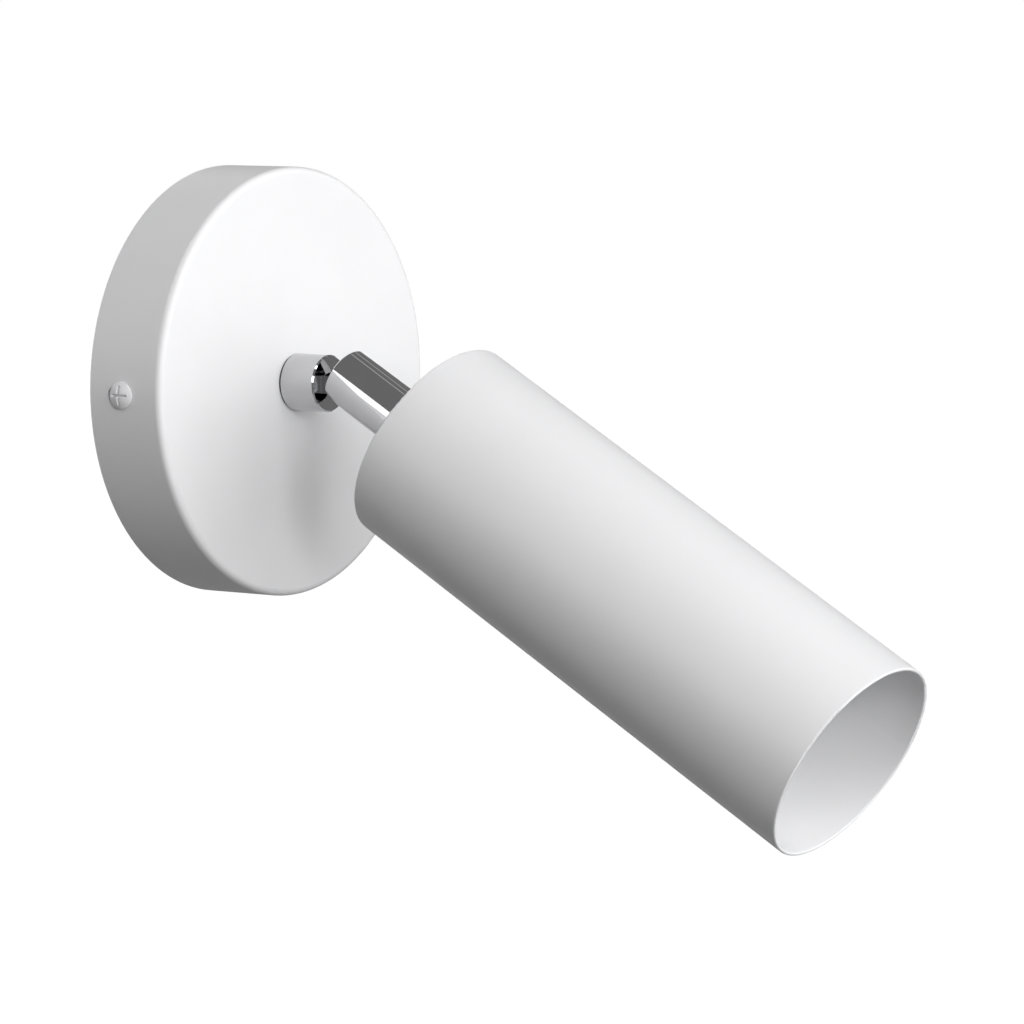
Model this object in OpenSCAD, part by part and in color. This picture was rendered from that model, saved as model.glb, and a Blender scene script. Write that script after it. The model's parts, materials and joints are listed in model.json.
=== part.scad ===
// Pivoting spotlight wall light: a round cover on a wall bracket, a two-part
// swivel and tilt joint, and a plain tube shade with a twist-lock spot lamp.
// The origin is the centre of the wall face. The wall is the plane y = 0, the
// light stands out along -Y, and +Z is up.

/* [Wall cover] */
// Diameter of the round cover
cover_d = 120; // [104:1:160]
// Depth of the cover, from the wall to its flat face
cover_depth = 24.5; // [23:0.5:36]
// Sheet thickness of the cover
cover_wall = 1.2; // [0.8:0.1:1.6]
// Outer radius of the edge between rim and face
cover_edge_r = 2; // [1.8:0.1:4]
// Distance of the side screws from the wall
side_screw_out = 11; // [9:0.5:13]

/* [Joint] */
// Diameter of the stem and of the sleeve
joint_d = 16; // [15:0.5:20]
// Length of the stem that stands on the cover
stem_length = 11.6; // [10:0.1:18]
// Distance from the stem's end to the hinge axis
hinge_reach = 9.8; // [9.4:0.1:12]
// Distance from the hinge axis back to the start of the sleeve
sleeve_back = 5.3; // [5:0.1:6.5]
// Slant of the cut under the sleeve's start, from square to its axis
bevel_angle = 62; // [50:1:65]
// Distance from the hinge axis to the back rim of the shade
shade_setback = 28.8; // [26:0.1:40]
// Angle of the head below level as it is drawn
rest_tilt = 30; // [-20:1:74]
// Diameter of the hinge pin
pin_d = 3; // [2.5:0.1:3.5]

/* [Shade] */
// Outer diameter of the shade
shade_d = 59.5; // [54:0.5:80]
// Length of the shade
shade_length = 156; // [140:1:240]
// Wall of the shade
shade_wall = 1; // [0.8:0.1:2]
// Depth of the lamp's lens behind the mouth
lamp_recess = 40; // [30:1:50]

/* [Wall bracket] */
// Sheet thickness of the bracket
bracket_t = 1.5; // [1:0.1:2]
// Width of the bracket's bar
bracket_w = 16; // [14:0.5:20]
// Distance between the centres of the two wall slots
wall_slot_spacing = 60; // [54:1:66]
// Width of a wall slot
wall_slot_w = 4.5; // [4:0.1:5]
// End to end length of a wall slot
wall_slot_l = 14; // [8:0.5:16]
// Diameter of the hole for the supply cable
cable_hole_d = 12; // [10:0.5:13]

/* [Lamp] */
// Length of the lamp from the back of its cap to its lens
lamp_length = 54; // [50:0.5:58]
// Free gap between the lamp and the inside of the shade
lamp_gap = 3.75; // [2:0.25:5]
// Turn that frees the lamp from its holder
lamp_turn = 25; // [20:1:30]

/* [Hidden] */
$fn = 96;

// Clearances and the overrun of every cut
overrun = 1;
thread_gap = 0.1;
seat_gap = 0.05;
hole_gap = 0.2;

// Cover
cover_r = cover_d / 2;
cover_inner_r = cover_r - cover_wall;
cover_inner_edge_r = cover_edge_r - cover_wall;
cover_inside = cover_depth - cover_wall;

// Side screws that hold the cover to the bracket's tabs
side_screw_d = 3.9;
side_screw_l = 8;
side_head_d = 7.4;
side_head_t = 1.7;
side_head_rim = 0.5;
side_recess_w = 0.9;
side_recess_l = 5.2;
side_recess_t = 0.8;
side_slot_w = 4.6;
// Reach of the cover's slot past the screw's centre, to the wall and to the face
side_slot_back = 4.8;
side_slot_front = 2.6;

// Bracket
tab_gap = 0.3;
tab_x = sqrt(pow(cover_inner_r, 2) - pow(bracket_w / 2, 2)) - tab_gap;
tab_beyond = 5;
tab_h = side_screw_out + tab_beyond;
bend_r = 1.5;
wing_w = 34;
wing_corner_r = 3;
wing_margin = 2;

// Terminal block on the bracket's wing
block_poles = 3;
block_pitch = 10;
block_l = 17;
block_h = 9;
block_up = 27;
block_w = block_poles * block_pitch;
tower_d = 7;
tower_h = 4;
tower_y = 4.3;
wire_out = 4.8;
metal_d = 5.4;
metal_l = 13;
metal_bore_d = 3;
clamp_screw_d = 3;
clamp_screw_top = 1.5;
clamp_slot_w = 0.6;
clamp_slot_t = 0.7;
wing_up = block_up + block_l / 2 + wing_margin;

// Fixing screws of the block, which end short of the wall
block_screw_d = 2.9;
block_head_d = 5.2;
block_head_t = 1.8;
block_screw_short = 0.5;

// Earth screw and its ring terminal on the bar
earth_x = -15;
earth_d = 3.9;
earth_head_d = 7;
earth_head_t = 2;
earth_screw_short = 0.5;
earth_slot_w = 1;
earth_slot_t = 0.9;
earth_washer_d = 9;
earth_washer_t = 0.8;
earth_eye_l = 7;

// Hollow threaded tubes and their nuts
nipple_d = 10;
nipple_bore_d = 7.5;
nut_across = 14;
nut_t = 2.8;
nut_edge = 0.4;
nipple_past_nut = 0.9;
nipple_in_joint = 6.5;
nipple_in_sleeve = 12;

// Washers under the cover's face
base_washer_t = 0.4;
base_washer_inset = 0.4;
stop_washer_d = 17;
stop_washer_t = 1;
spring_washer_d = 15.5;
spring_washer_t = 0.8;
spring_washer_split = 1.2;
key_w = 2;
key_depth = 0.6;

// Rotation stop: a stud on the cover meets the washer's tab
stud_d = 3;
stud_t = 1.6;
stud_up = 12.5;
stop_tab_w = 3;
stop_tab_past = 1.5;

// Distances from the wall
stop_washer_out = cover_inside - stop_washer_t;
spring_washer_out = stop_washer_out - spring_washer_t;
first_nut_out = spring_washer_out - nut_t;
second_nut_out = first_nut_out - nut_t - seat_gap;
nipple_start_out = second_nut_out - nipple_past_nut;
stem_start_out = cover_depth + base_washer_t;
stem_end_out = stem_start_out + stem_length;

// Stem, tongue and hinge
joint_r = joint_d / 2;
joint_edge = 0.4;
hinge_out = stem_end_out + hinge_reach;
lead_way_d = 6;
tongue_w = 8;
tongue_h = 4.8;
tongue_seat = 3;
eye_d = 7;
eye_gap = 0.5;
pin_gap = 0.05;
hinge_washer_d = 6.4;
hinge_washer_t = 0.5;
cheek_x = tongue_w / 2 + hinge_washer_t + 2 * seat_gap;
pocket_d = 13;
pocket_slot_past = 1.6;
bevel_below = 4.6;
pin_head_d = 5.4;
pin_head_t = 1.4;
pin_slot_w = 0.9;
pin_slot_t = 0.7;
pin_grip = 2;
pin_head_x = sqrt(pow(joint_r, 2) - pow(pin_head_d / 2 + hole_gap, 2)) - pin_head_t;

// Places along the head, counted from the hinge axis
disc_inset = 1;
disc_t = 1.5;
lock_washer_t = 0.8;
lock_washer_d = 17;
lock_teeth = 12;
lock_tooth_l = 1.6;
lock_tooth_w = 1.4;
strap_t = 1;
strap_rise = 6.5;
strap_foot = 5;
strap_w = 12;
strap_leg_gap = 0.6;
strap_leg_y = nut_across / 2 + strap_leg_gap + strap_t;
holder_l = 17;
disc_start = shade_setback + disc_inset;
lock_washer_start = disc_start + disc_t;
back_nut_start = lock_washer_start + lock_washer_t;
shade_end = shade_setback + shade_length;
lens_front = shade_end - lamp_recess;
cap_start = lens_front - lamp_length;
holder_start = cap_start - holder_l - seat_gap;
strap_start = holder_start - strap_rise;
strap_nut_start = strap_start + strap_t;
head_nipple_start = disc_start - nipple_in_sleeve;
head_nipple_end = strap_nut_start + nut_t + nipple_past_nut;

// Lampholder
holder_d = 30;
holder_edge = 0.8;
holder_face_t = 4;
holder_body_l = holder_l - holder_face_t;
holder_room = 4;
holder_room_start = holder_body_l - holder_room;
holder_screw_y = strap_leg_y + strap_foot / 2;
holder_screw_d = 2.9;
holder_head_d = 5;
holder_head_t = 1.8;
holder_head_sink = 2.4;
holder_screw_past = 1;
contact_t = 0.8;
contact_w = 4;
arc_steps = 5;

// Lamp
lamp_d = shade_d - 2 * shade_wall - 2 * lamp_gap;
lamp_pin_x = 5;
lamp_pin_d = 2.5;
lamp_pin_l = 7;
lamp_foot_d = 4.8;
lamp_foot_t = 2.6;
cap_d = 23;
cap_l = 14;
cap_edge = 1.5;
housing_neck_d = 27;
housing_rim_l = 5;
housing_wall = 1.6;
housing_floor_t = 2;
lens_t = 2.4;
lens_crown = 1.2;
lens_gap = 0.1;
board_t = 1.6;
board_drop = 12;
chip_w = 3;
chip_t = 0.7;
chip_ring_r = 9;
chips = 6;

// Leads
lead_d = 2;
lead_x = 1.3;
head_lead_x = 1.8;
lead_sides = 10;
lead_steps = 18;
lead_grip = 4;
lead_into_joint = 5;
lead_into_holder = 4;
lead_sag = 13;
lead_rise = 14;

// Local z runs out from the wall and local y runs up
module from_wall(out) {
    translate([0, -out, 0]) rotate([90, 0, 0]) children();
}

// Local z runs along the head from the hinge axis
module on_head(along) {
    translate([0, -hinge_out, 0]) rotate([rest_tilt + 90, 0, 0]) translate([0, 0, along]) children();
}

// A ring or pipe that stands on z = 0
module pipe(d, bore, h) {
    difference() {
        cylinder(d = d, h = h);
        translate([0, 0, -overrun]) cylinder(d = bore, h = h + 2 * overrun);
    }
}

// A turned rod with a chamfer at both ends
module turned_rod(r, h, edge) {
    rotate_extrude() polygon([[0, 0], [r - edge, 0], [r, edge], [r, h - edge], [r - edge, h], [0, h]]);
}

// A low dome on a short rim, flat side down
module dome_head(d, h, rim) {
    rise = h - rim;
    ball_r = (pow(d / 2, 2) + pow(rise, 2)) / (2 * rise);
    intersection() {
        cylinder(d = d, h = h);
        translate([0, 0, h - ball_r]) sphere(r = ball_r);
    }
}

// A bar across the top of a screw's head, as a cutter
module driver_slot(w, l, t, top) {
    translate([-l / 2, -w / 2, top - t]) cube([l, w, t + overrun]);
}

// A cheese head on a plain shank that reaches below z = 0
module slotted_screw(d, below, head_d, head_t, slot_w, slot_t) {
    difference() {
        union() {
            translate([0, 0, -below]) cylinder(d = d, h = below + head_t / 2);
            turned_rod(head_d / 2, head_t, slot_w / 4);
        }
        driver_slot(slot_w, head_d + 2 * overrun, slot_t, head_t);
    }
}

// A hexagon nut with a threaded bore and a turned edge
module nut() {
    corner_r = nut_across / 2 / cos(30);
    difference() {
        intersection() {
            cylinder(r = corner_r, h = nut_t, $fn = 6);
            turned_rod(corner_r, nut_t, nut_edge);
        }
        translate([0, 0, -overrun]) cylinder(d = nipple_d + 2 * thread_gap, h = nut_t + 2 * overrun);
    }
}

// A long hole along x, cut through a sheet that lies on z = 0
module long_hole(w, l, t) {
    for (side = [-1, 1]) {
        translate([side * (l - w) / 2, 0, -overrun]) cylinder(d = w, h = t + 2 * overrun);
    }
    translate([-(l - w) / 2, -w / 2, -overrun]) cube([l - w, w, t + 2 * overrun]);
}

// A flat sheet with round corners, centred on x and standing up from y = 0
module round_sheet(w, h, corner, t) {
    translate([corner - w / 2, 0, 0]) cube([w - 2 * corner, h, t]);
    translate([-w / 2, 0, 0]) cube([w, h - corner, t]);
    for (side = [-1, 1]) {
        translate([side * (w / 2 - corner), h - corner, 0]) cylinder(r = corner, h = t);
    }
}

// One half of a strap's side view: a bar on x with its end bent up
module bent_half(reach, height, t, r) {
    square([reach - r - t, t]);
    translate([reach - t, r + t]) square([t, height - r - t]);
    translate([reach - r - t, r + t]) intersection() {
        difference() {
            circle(r = r + t);
            circle(r = r);
        }
        translate([0, -r - t]) square(r + t);
    }
}

// The places of the block's poles along x
pole_places = [for (i = [0:block_poles - 1]) (i - (block_poles - 1) / 2) * block_pitch];

// A point on a smooth curve with four guide points
function curve(p, t) =
    pow(1 - t, 3) * p[0] + 3 * pow(1 - t, 2) * t * p[1] + 3 * (1 - t) * pow(t, 2) * p[2] + pow(t, 3) * p[3];

function unit(v) = v / norm(v);

// The rings of a lead: each lies square to the curve, and none is twisted
function lead_ring(p, t, d) =
    let (
        step = 1 / lead_steps / 4,
        along = unit(curve(p, min(1, t + step)) - curve(p, max(0, t - step))),
        side = unit(cross(along, [1, 0, 0])),
        other = cross(along, side)
    )
    [for (a = [0:360 / lead_sides:359]) curve(p, t) + d / 2 * (cos(a) * side + sin(a) * other)];

// A lead as one closed tube along the curve
module lead(p, d) {
    points = [for (i = [0:lead_steps]) each lead_ring(p, i / lead_steps, d)];
    walls = [
        for (i = [0:lead_steps - 1]) for (k = [0:lead_sides - 1])
            let (a = i * lead_sides + k, b = i * lead_sides + (k + 1) % lead_sides)
            each [[a, b, b + lead_sides], [a, b + lead_sides, a + lead_sides]]
    ];
    first = [for (k = [1:lead_sides - 2]) [0, k + 1, k]];
    base = lead_steps * lead_sides;
    last = [for (k = [1:lead_sides - 2]) [base, base + k, base + k + 1]];
    polyhedron(points = points, faces = concat(walls, first, last));
}

// Wall bracket: a bar with bent tabs, and a wing that carries the block
module wall_bracket() {
    color("lightgray") from_wall(0) difference() {
        union() {
            for (side = [0, 1]) {
                mirror([side, 0, 0]) translate([0, bracket_w / 2, 0]) rotate([90, 0, 0])
                    linear_extrude(bracket_w) bent_half(tab_x, tab_h, bracket_t, bend_r);
            }
            round_sheet(wing_w, wing_up, wing_corner_r, bracket_t);
        }
        for (side = [-1, 1]) {
            translate([side * wall_slot_spacing / 2, 0, 0]) long_hole(wall_slot_w, wall_slot_l, bracket_t);
            translate([side * block_pitch / 2, block_up, -overrun])
                cylinder(d = block_screw_d + 2 * thread_gap, h = bracket_t + 2 * overrun);
        }
        translate([0, 0, -overrun]) cylinder(d = cable_hole_d, h = bracket_t + 2 * overrun);
        translate([earth_x, 0, -overrun]) cylinder(d = earth_d + 2 * thread_gap, h = bracket_t + 2 * overrun);
        translate([-cover_r, 0, side_screw_out]) rotate([0, 90, 0])
            cylinder(d = side_screw_d + 2 * thread_gap, h = cover_d);
    }
}

// Outline of the cover's cup from its axis to a radius, with a round corner
module cup_outline(r, depth, edge) {
    square([r, depth - edge]);
    square([r - edge, depth]);
    translate([r - edge, depth - edge]) circle(r = edge);
}

// Cover: a pressed cup with a hole for the joint and two slots for the side screws
module cover() {
    slot_l = side_slot_back + side_slot_front;
    slot_out = side_screw_out - (side_slot_back - side_slot_front) / 2;
    color("white") from_wall(0) difference() {
        union() {
            rotate_extrude() difference() {
                cup_outline(cover_r, cover_depth, cover_edge_r);
                translate([0, -overrun])
                    cup_outline(cover_inner_r, cover_inside + overrun, cover_inner_edge_r);
            }
            translate([0, stud_up, cover_inside - stud_t]) cylinder(d = stud_d, h = stud_t + cover_wall / 2);
        }
        translate([0, 0, -overrun]) cylinder(d = nipple_d + 2 * hole_gap, h = cover_depth + 2 * overrun);
        for (side = [-1, 1]) {
            translate([side * (cover_inner_r - overrun), 0, slot_out])
                rotate([0, side * 90, 0]) long_hole(side_slot_w, slot_l, cover_wall + overrun);
        }
    }
}

// Side screws: one at each side, through the cover into the bracket's tab
module cover_screws() {
    color("white") from_wall(side_screw_out) for (side = [-1, 1]) {
        translate([side * (cover_r + seat_gap), 0, 0]) rotate([0, side * 90, 0]) difference() {
            union() {
                translate([0, 0, -side_screw_l])
                    cylinder(d = side_screw_d, h = side_screw_l + side_head_t / 2);
                dome_head(side_head_d, side_head_t, side_head_rim);
            }
            driver_slot(side_recess_w, side_recess_l, side_recess_t, side_head_t);
            rotate([0, 0, 90]) driver_slot(side_recess_w, side_recess_l, side_recess_t, side_head_t);
        }
    }
}

// Terminal block: insulating body with a wire way and two screw towers at each pole
module terminal_block() {
    color("ivory") from_wall(bracket_t) translate([0, block_up, 0]) difference() {
        union() {
            translate([-block_w / 2, -block_l / 2, 0]) cube([block_w, block_l, block_h]);
            for (x = pole_places) for (y = [-tower_y, tower_y]) {
                translate([x, y, 0]) cylinder(d = tower_d, h = block_h + tower_h);
            }
        }
        for (x = pole_places) {
            translate([x, block_l / 2 + overrun, wire_out]) rotate([90, 0, 0])
                cylinder(d = metal_d + 2 * seat_gap, h = block_l + 2 * overrun);
            for (y = [-tower_y, tower_y]) {
                translate([x, y, wire_out]) cylinder(d = clamp_screw_d + 2 * hole_gap, h = block_h + tower_h);
            }
        }
        for (side = [-1, 1]) {
            translate([side * block_pitch / 2, 0, -overrun])
                cylinder(d = block_screw_d + 2 * hole_gap, h = block_h + 2 * overrun);
        }
    }
}

// Brass sleeves of the block, with a wire bore and two threaded holes
module terminal_sleeves() {
    color("gold") from_wall(bracket_t + wire_out) translate([0, block_up, 0]) for (x = pole_places) {
        translate([x, 0, 0]) difference() {
            translate([0, metal_l / 2, 0]) rotate([90, 0, 0]) pipe(metal_d, metal_bore_d, metal_l);
            for (y = [-tower_y, tower_y]) {
                translate([0, y, 0]) cylinder(d = clamp_screw_d + 2 * thread_gap, h = metal_d);
            }
        }
    }
}

// Clamping screws of the block, down through the towers onto the wires
module terminal_screws() {
    start = wire_out + lead_d / 2 + seat_gap;
    top = block_h + tower_h - clamp_screw_top;
    color("silver") from_wall(bracket_t) translate([0, block_up, 0]) {
        for (x = pole_places) for (y = [-tower_y, tower_y]) {
            translate([x, y, 0]) difference() {
                translate([0, 0, start]) cylinder(d = clamp_screw_d, h = top - start);
                driver_slot(clamp_slot_w, clamp_screw_d + overrun, clamp_slot_t, top);
            }
        }
    }
}

// Screws that hold the block to the wing
module block_screws() {
    below = block_h + bracket_t - block_screw_short;
    color("silver") from_wall(bracket_t + block_h) for (side = [-1, 1]) {
        translate([side * block_pitch / 2, block_up, 0])
            slotted_screw(block_screw_d, below, block_head_d, block_head_t, clamp_slot_w, clamp_slot_t);
    }
}

// Earth screw in the bracket's bar
module earth_screw() {
    below = earth_washer_t + bracket_t - earth_screw_short;
    color("silver") from_wall(bracket_t + earth_washer_t) translate([earth_x, 0, 0])
        slotted_screw(earth_d, below, earth_head_d, earth_head_t, earth_slot_w, earth_slot_t);
}

// Ring terminal under the earth screw, with a barrel for the earth lead
module earth_washer() {
    color("gold") from_wall(bracket_t) translate([earth_x, 0, 0]) difference() {
        union() {
            cylinder(d = earth_washer_d, h = earth_washer_t);
            translate([-lead_d / 2, 0, 0]) cube([lead_d, earth_eye_l, earth_washer_t]);
        }
        translate([0, 0, -overrun]) cylinder(d = earth_d + 2 * thread_gap, h = earth_washer_t + 2 * overrun);
    }
}

// Where a lead ends inside a pole's sleeve, as x, up and out from the wall
function pole_end(i) = [pole_places[i], block_up - metal_l / 2 + lead_grip, bracket_t + wire_out];

// A lead from a pole into the hollow tube behind the joint
module joint_lead(i, x) {
    start = pole_end(i);
    end = [x, 0, nipple_start_out + lead_into_joint];
    from_wall(0) lead([start, start - [0, lead_sag, 0], end - [0, 0, lead_rise], end], lead_d);
}

module lead_live() {
    color("saddlebrown") joint_lead(2, lead_x);
}

module lead_neutral() {
    color("steelblue") joint_lead(1, -lead_x);
}

// Earth lead from the first pole to the ring terminal
module lead_earth() {
    start = pole_end(0);
    end = [earth_x, earth_eye_l, bracket_t + earth_washer_t + lead_d / 2 + seat_gap];
    color("limegreen") from_wall(0)
        lead([start, start - [0, lead_sag, 0], end + [0, lead_sag / 2, 0], end], lead_d);
}

// Thin washer that keeps the stem off the paint
module base_washer() {
    color("dimgray") from_wall(cover_depth)
        pipe(joint_d - 2 * base_washer_inset, nipple_d + 2 * hole_gap, base_washer_t);
}

// Stem: turned cylinder with a threaded back and a socket in its end for the tongue
module joint_stem() {
    color("silver") from_wall(stem_start_out) difference() {
        turned_rod(joint_r, stem_length, joint_edge);
        translate([0, 0, -overrun])
            cylinder(d = nipple_d + 2 * thread_gap, h = nipple_in_joint + thread_gap + overrun);
        translate([0, 0, -overrun]) cylinder(d = lead_way_d, h = stem_length + 2 * overrun);
        translate([-tongue_w / 2 - seat_gap, -tongue_h / 2 - seat_gap, stem_length - tongue_seat])
            cube([tongue_w + 2 * seat_gap, tongue_h + 2 * seat_gap, tongue_seat + overrun]);
    }
}

// Keyway along the swivel's hollow tube, below its axis
module keyway(depth, w, h) {
    translate([-w / 2, -nipple_d / 2 - overrun, 0]) cube([w, depth + overrun, h]);
}

// Hollow threaded tube that holds the stem to the cover
module swivel_nipple() {
    length = stem_start_out + nipple_in_joint - nipple_start_out;
    color("lightgray") from_wall(nipple_start_out) difference() {
        pipe(nipple_d, nipple_bore_d, length);
        translate([0, 0, -overrun]) keyway(key_depth, key_w + 2 * seat_gap, length + 2 * overrun);
    }
}

// Keyed washer with a tab that meets the cover's stud at both ends of the turn
module stop_washer() {
    color("lightgray") from_wall(stop_washer_out) difference() {
        union() {
            cylinder(d = stop_washer_d, h = stop_washer_t);
            translate([-stop_tab_w / 2, -stud_up - stop_tab_past, 0])
                cube([stop_tab_w, stud_up, stop_washer_t]);
        }
        difference() {
            translate([0, 0, -overrun])
                cylinder(d = nipple_d + 2 * thread_gap, h = stop_washer_t + 2 * overrun);
            translate([0, 0, -2 * overrun]) keyway(key_depth - seat_gap, key_w, stop_washer_t + 4 * overrun);
        }
    }
}

// Split spring washer that gives the swivel its drag
module spring_washer() {
    color("silver") from_wall(spring_washer_out) difference() {
        pipe(spring_washer_d, nipple_d + 2 * hole_gap, spring_washer_t);
        translate([0, -spring_washer_split / 2, -overrun])
            cube([spring_washer_d, spring_washer_split, spring_washer_t + 2 * overrun]);
    }
}

// Nut and lock nut of the swivel
module swivel_nuts() {
    color("lightgray") for (out = [first_nut_out, second_nut_out]) from_wall(out) nut();
}

// Tongue: a bar held in the stem's socket, with a round eye on the hinge axis
module joint_tongue() {
    reach = hinge_out - stem_end_out + tongue_seat;
    color("silver") translate([0, -hinge_out, 0]) difference() {
        union() {
            translate([-tongue_w / 2, 0, -tongue_h / 2]) cube([tongue_w, reach - seat_gap, tongue_h]);
            translate([-tongue_w / 2, 0, 0]) rotate([0, 90, 0]) cylinder(d = eye_d, h = tongue_w);
        }
        translate([-tongue_w, 0, 0]) rotate([0, 90, 0]) cylinder(d = pin_d + 2 * pin_gap, h = 2 * tongue_w);
    }
}

// Pocket in the sleeve's start, with flat cheeks beside the tongue, open to the lower side
module tongue_pocket() {
    depth = sleeve_back + eye_d / 2 + eye_gap + overrun;
    slot_l = sleeve_back + pocket_slot_past + overrun;
    translate([0, 0, -sleeve_back - overrun]) {
        intersection() {
            cylinder(d = pocket_d, h = depth);
            translate([-cheek_x, -pocket_d, 0]) cube([2 * cheek_x, 2 * pocket_d, depth]);
        }
        translate([-cheek_x, -joint_d, 0]) cube([2 * cheek_x, joint_d, slot_l]);
    }
}

// Slanted cut under the sleeve's start, where the tongue leaves as the head tilts down
module sleeve_bevel() {
    translate([0, -bevel_below, -sleeve_back]) rotate([-bevel_angle, 0, 0])
        translate([-joint_d, -2 * joint_d, -joint_d]) cube([2 * joint_d, 3 * joint_d, joint_d]);
}

// Sleeve: turned cylinder with a pocket for the tongue and a threaded front
module joint_sleeve() {
    color("silver") on_head(0) difference() {
        translate([0, 0, -sleeve_back]) turned_rod(joint_r, sleeve_back + disc_start, joint_edge);
        tongue_pocket();
        sleeve_bevel();
        cylinder(d = lead_way_d, h = disc_start);
        translate([0, 0, head_nipple_start - thread_gap])
            cylinder(d = nipple_d + 2 * thread_gap, h = disc_start);
        translate([-cheek_x - pin_grip - seat_gap, 0, 0]) rotate([0, 90, 0])
            cylinder(d = pin_d + 2 * pin_gap, h = joint_d);
        translate([pin_head_x, 0, 0]) rotate([0, 90, 0]) cylinder(d = pin_head_d + 2 * hole_gap, h = joint_d);
    }
}

// Hinge screw: blind at the left, with its slotted head sunk in the right side
module hinge_pin() {
    start = -cheek_x - pin_grip;
    color("silver") on_head(0) difference() {
        union() {
            translate([start, 0, 0]) rotate([0, 90, 0])
                cylinder(d = pin_d, h = pin_head_x - start + pin_head_t / 2);
            translate([pin_head_x + seat_gap, 0, 0]) rotate([0, 90, 0])
                cylinder(d = pin_head_d, h = pin_head_t - seat_gap);
        }
        translate([pin_head_x + pin_head_t - pin_slot_t, -pin_head_d, -pin_slot_w / 2])
            cube([pin_head_t, 2 * pin_head_d, pin_slot_w]);
    }
}

// Friction washers between the tongue and the sleeve's cheeks
module hinge_washers() {
    color("dimgray") on_head(0) for (side = [0, 1]) mirror([side, 0, 0]) {
        translate([tongue_w / 2 + seat_gap, 0, 0]) rotate([0, 90, 0])
            pipe(hinge_washer_d, pin_d + 2 * thread_gap, hinge_washer_t);
    }
}

// Hollow threaded tube from the sleeve to the lampholder's strap
module head_nipple() {
    color("lightgray") on_head(head_nipple_start)
        pipe(nipple_d, nipple_bore_d, head_nipple_end - head_nipple_start);
}

// Disc that closes the back of the shade
module shade_end_disc() {
    disc_d = shade_d - 2 * shade_wall - 2 * seat_gap;
    color("white") on_head(disc_start) pipe(disc_d, nipple_d + 2 * hole_gap, disc_t);
}

// Shade: a plain tube with round rims
module shade_tube() {
    mid_r = (shade_d - shade_wall) / 2;
    color("white") on_head(shade_setback) rotate_extrude() {
        translate([mid_r - shade_wall / 2, shade_wall / 2]) square([shade_wall, shade_length - shade_wall]);
        for (z = [shade_wall / 2, shade_length - shade_wall / 2]) {
            translate([mid_r, z]) circle(d = shade_wall);
        }
    }
}

// Toothed washer between the disc and the first nut
module lock_washer() {
    color("silver") on_head(lock_washer_start) difference() {
        pipe(lock_washer_d, nipple_d + 2 * hole_gap, lock_washer_t);
        for (i = [0:lock_teeth - 1]) rotate([0, 0, 360 * i / lock_teeth]) {
            translate([lock_washer_d / 2 - lock_tooth_l, -lock_tooth_w / 2, -overrun])
                cube([lock_tooth_l + overrun, lock_tooth_w, lock_washer_t + 2 * overrun]);
        }
    }
}

// Nuts along the head's tube: at the disc, and on both sides of the strap
module head_nuts() {
    color("lightgray") for (along = [back_nut_start, strap_start - nut_t, strap_nut_start]) {
        on_head(along) nut();
    }
}

// Strap that carries the lampholder on two raised feet
module holder_bracket() {
    color("lightgray") on_head(strap_start) difference() {
        union() {
            for (side = [0, 1]) mirror([0, side, 0]) rotate([90, 0, 90]) translate([0, 0, -strap_w / 2])
                linear_extrude(strap_w) {
                    bent_half(strap_leg_y, strap_rise, strap_t, strap_t / 2);
                    translate([strap_leg_y - strap_t, strap_rise - strap_t])
                        square([strap_foot + strap_t, strap_t]);
                }
        }
        translate([0, 0, -overrun]) cylinder(d = nipple_d + 2 * hole_gap, h = strap_t + 2 * overrun);
        for (side = [-1, 1]) {
            translate([0, side * holder_screw_y, 0])
                cylinder(d = holder_screw_d + 2 * thread_gap, h = strap_rise + overrun);
        }
    }
}

// Screws through the lampholder into the strap's feet
module holder_screws() {
    below = holder_l - holder_head_sink + strap_t + holder_screw_past;
    color("silver") on_head(holder_start + holder_l - holder_head_sink) for (side = [-1, 1]) {
        translate([0, side * holder_screw_y, 0])
            slotted_screw(holder_screw_d, below, holder_head_d, holder_head_t, clamp_slot_w, clamp_slot_t);
    }
}

// Points on an arc about a centre
function arc(centre, r, from, to, steps) =
    [for (i = [0:steps]) let (a = from + (to - from) * i / steps) centre + r * [cos(a), sin(a)]];

// A curved slot on a ring, from angle 0 to a turn, round at both ends
module arc_way(r, w, turn, h) {
    linear_extrude(h) polygon(concat(
        arc([0, 0], r + w / 2, 0, turn, arc_steps),
        arc(r * [cos(turn), sin(turn)], w / 2, turn, turn + 180, 2 * arc_steps),
        arc([0, 0], r - w / 2, turn, 0, arc_steps),
        arc([r, 0], w / 2, 180, 360, 2 * arc_steps)
    ));
}

// Lampholder: ceramic body with a room behind each pin's slot
module lampholder_body() {
    foot_way = lamp_foot_d + 2 * hole_gap;
    color("ivory") on_head(holder_start) difference() {
        turned_rod(holder_d / 2, holder_body_l, holder_edge);
        for (turn = [0, 180]) rotate([0, 0, turn]) {
            translate([0, 0, holder_room_start])
                arc_way(lamp_pin_x, foot_way, lamp_turn, holder_room + overrun);
            translate([head_lead_x, 0, -overrun])
                cylinder(d = lead_d + 2 * hole_gap, h = lead_into_holder + hole_gap + overrun);
            translate([0, holder_screw_y, -overrun])
                cylinder(d = holder_screw_d + 2 * hole_gap, h = holder_body_l + 2 * overrun);
        }
    }
}

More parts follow.
